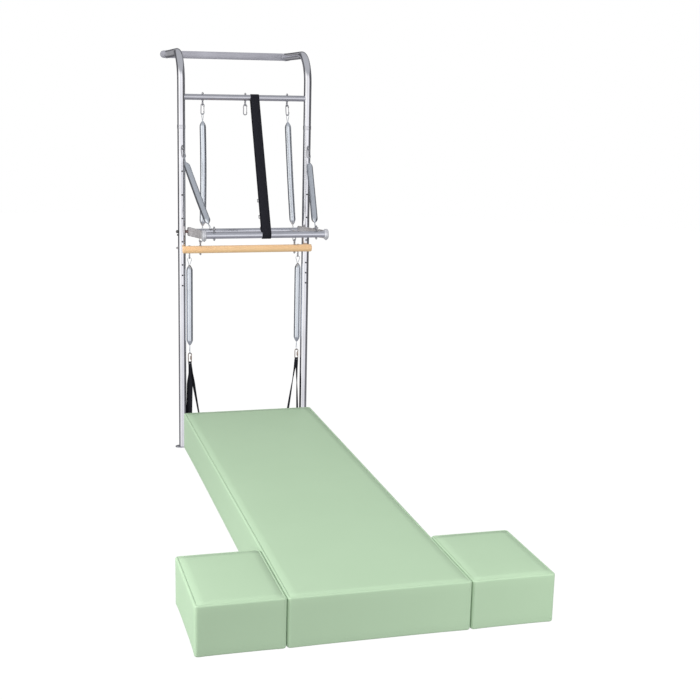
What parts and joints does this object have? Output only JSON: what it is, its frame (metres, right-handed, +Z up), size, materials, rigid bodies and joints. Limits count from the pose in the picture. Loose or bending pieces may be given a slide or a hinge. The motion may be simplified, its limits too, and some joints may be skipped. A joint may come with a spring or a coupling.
{
  "type": "pilates wall unit",
  "caption": "Wall-mounted steel pilates tower with push-through bar, wooden roll-down bar on springs, leg springs with foot loops, safety strap, floor mat and side cushions.",
  "frame": {"origin": "on the floor under the middle of the whole unit's box", "axes": "+Z up, +Y from the mat to the wall, +X to the right of someone who faces the wall"},
  "size_m": [1.367, 3.064, 2.1075],
  "materials": {
    "polished_steel": "polished stainless steel tube",
    "brushed_steel": "satin steel",
    "zinc_hardware": "bright zinc plated hardware",
    "dark_bolt": "dark oiled steel",
    "spring_steel": "nickel plated spring wire",
    "bronze_snap": "bronze coloured snap hook",
    "maple": "lacquered light maple",
    "black_webbing": "woven black webbing",
    "grey_cap": "grey moulded plastic",
    "mint_vinyl": "pale mint green upholstery vinyl"
  },
  "bodies": {
    "tower": {"upright_lower_left": "polished_steel", "upright_lower_right": "polished_steel", "upright_upper_left": "polished_steel", "upright_upper_right": "polished_steel", "joint_sleeve_left": "brushed_steel", "joint_sleeve_right": "brushed_steel", "foot_flange_left": "brushed_steel", "foot_flange_right": "brushed_steel", "wall_bar": "brushed_steel", "wall_flange_left": "brushed_steel", "wall_flange_right": "brushed_steel", "upper_crossbar": "polished_steel", "crossbar_eyebolt_left": "zinc_hardware", "crossbar_eyebolt_centre": "zinc_hardware", "crossbar_eyebolt_right": "zinc_hardware", "upper_eyebolt_left": "zinc_hardware", "upper_eyebolt_right": "zinc_hardware", "lower_eyebolt_left": "zinc_hardware", "lower_eyebolt_right": "zinc_hardware", "pivot_bolt_left": "dark_bolt", "pivot_bolt_right": "dark_bolt", "safety_strap": "black_webbing", "mat": "mint_vinyl"},
    "push_through_bar": {"push_bar_front_tube": "polished_steel", "push_bar_rear_tube": "polished_steel", "push_bar_arm_left": "brushed_steel", "push_bar_arm_right": "brushed_steel", "push_bar_end_cap_left": "grey_cap", "push_bar_end_cap_right": "grey_cap", "push_bar_eyebolt_left": "zinc_hardware", "push_bar_eyebolt_right": "zinc_hardware", "strap_buckle": "zinc_hardware"},
    "push_spring_top_left": {"push_spring_upper_hook_left": "zinc_hardware", "push_spring_coil_left": "spring_steel"},
    "push_spring_top_right": {"push_spring_upper_hook_right": "zinc_hardware", "push_spring_coil_right": "spring_steel"},
    "push_spring_end_left": {"push_spring_lower_hook_left": "zinc_hardware"},
    "push_spring_end_right": {"push_spring_lower_hook_right": "zinc_hardware"},
    "roll_down_springs": {"roll_spring_upper_hook_left": "zinc_hardware", "roll_spring_upper_hook_right": "zinc_hardware", "roll_spring_coil_left": "spring_steel", "roll_spring_coil_right": "spring_steel"},
    "roll_down_bar": {"roll_down_bar": "maple", "roll_bar_eyebolt_left": "zinc_hardware", "roll_bar_eyebolt_right": "zinc_hardware", "roll_spring_lower_hook_left": "zinc_hardware", "roll_spring_lower_hook_right": "zinc_hardware"},
    "leg_spring_top_left": {"leg_spring_upper_hook_left": "bronze_snap", "leg_spring_coil_left": "spring_steel"},
    "leg_spring_top_right": {"leg_spring_upper_hook_right": "bronze_snap", "leg_spring_coil_right": "spring_steel"},
    "leg_spring_end_left": {"leg_spring_lower_hook_left": "bronze_snap", "foot_loop_left": "black_webbing"},
    "leg_spring_end_right": {"leg_spring_lower_hook_right": "bronze_snap", "foot_loop_right": "black_webbing"},
    "centre_snap": {"centre_snap_hook": "zinc_hardware"},
    "side_cushion_left": {"side_cushion_left": "mint_vinyl"},
    "side_cushion_right": {"side_cushion_right": "mint_vinyl"}
  },
  "joints": [
    {"name": "push_through_pivot", "type": "hinge", "parent": "tower", "child": "push_through_bar", "pos_m": [-0.0185, 0.992, 1.171], "axis": [-1, 0, 0], "range_deg": [0, 25], "deforming": ["safety_strap"]},
    {"name": "push_spring_swing_left", "type": "hinge", "parent": "tower", "child": "push_spring_top_left", "pos_m": [-0.35072, 0.95389, 1.6049], "axis": [-1, 0, 0], "range_deg": [0, 18]},
    {"name": "push_spring_swing_right", "type": "hinge", "parent": "tower", "child": "push_spring_top_right", "pos_m": [0.31372, 0.95389, 1.6049], "axis": [-1, 0, 0], "range_deg": [0, 18]},
    {"name": "push_spring_draw_left", "type": "slide", "parent": "push_spring_top_left", "child": "push_spring_end_left", "axis": [0, 0.8179, 0.5754], "range_m": [0, 0.18], "deforming": ["push_spring_coil_left"]},
    {"name": "push_spring_draw_right", "type": "slide", "parent": "push_spring_top_right", "child": "push_spring_end_right", "axis": [0, 0.8179, 0.5754], "range_m": [0, 0.18], "deforming": ["push_spring_coil_right"]},
    {"name": "roll_down_swing", "type": "hinge", "parent": "tower", "child": "roll_down_springs", "pos_m": [-0.0185, 0.9918, 1.8281], "axis": [-1, 0, 0], "range_deg": [0, 20]},
    {"name": "roll_down_pull", "type": "slide", "parent": "roll_down_springs", "child": "roll_down_bar", "axis": [0, -0.0559, -0.9984], "range_m": [0, 0.2], "stiffness_N_per_m": 500, "springref_m": -0.04, "deforming": ["roll_spring_coil_left", "roll_spring_coil_right"]},
    {"name": "leg_spring_swing_left", "type": "hinge", "parent": "tower", "child": "leg_spring_top_left", "pos_m": [-0.3107, 0.992, 1.075], "axis": [-1, 0, 0], "range_deg": [-15, 35], "deforming": ["foot_loop_left"]},
    {"name": "leg_spring_swing_right", "type": "hinge", "parent": "tower", "child": "leg_spring_top_right", "pos_m": [0.2737, 0.992, 1.075], "axis": [-1, 0, 0], "range_deg": [-15, 35], "deforming": ["foot_loop_right"]},
    {"name": "leg_spring_pull_left", "type": "slide", "parent": "leg_spring_top_left", "child": "leg_spring_end_left", "axis": [0, 0, -1], "range_m": [0, 0.08], "stiffness_N_per_m": 300, "springref_m": -0.03, "deforming": ["leg_spring_coil_left"]},
    {"name": "leg_spring_pull_right", "type": "slide", "parent": "leg_spring_top_right", "child": "leg_spring_end_right", "axis": [0, 0, -1], "range_m": [0, 0.08], "stiffness_N_per_m": 300, "springref_m": -0.03, "deforming": ["leg_spring_coil_right"]},
    {"name": "centre_snap_swing", "type": "hinge", "parent": "tower", "child": "centre_snap", "pos_m": [-0.0185, 0.992, 1.8281], "axis": [-1, 0, 0], "range_deg": [-45, 45]},
    {"name": "side_cushion_slide_left", "type": "slide", "parent": "tower", "child": "side_cushion_left", "axis": [-1, 0, 0], "range_m": [0, 0.25]},
    {"name": "side_cushion_slide_right", "type": "slide", "parent": "tower", "child": "side_cushion_right", "axis": [1, 0, 0], "range_m": [0, 0.25]}
  ],
  "couplings": [
    {"joint": "push_spring_swing_left", "follows": "push_through_pivot", "ratio": 0.69},
    {"joint": "push_spring_swing_right", "follows": "push_through_pivot", "ratio": 0.69},
    {"joint": "push_spring_draw_left", "follows": "push_through_pivot", "m_per_rad": 0.4},
    {"joint": "push_spring_draw_right", "follows": "push_through_pivot", "m_per_rad": 0.4}
  ]
}
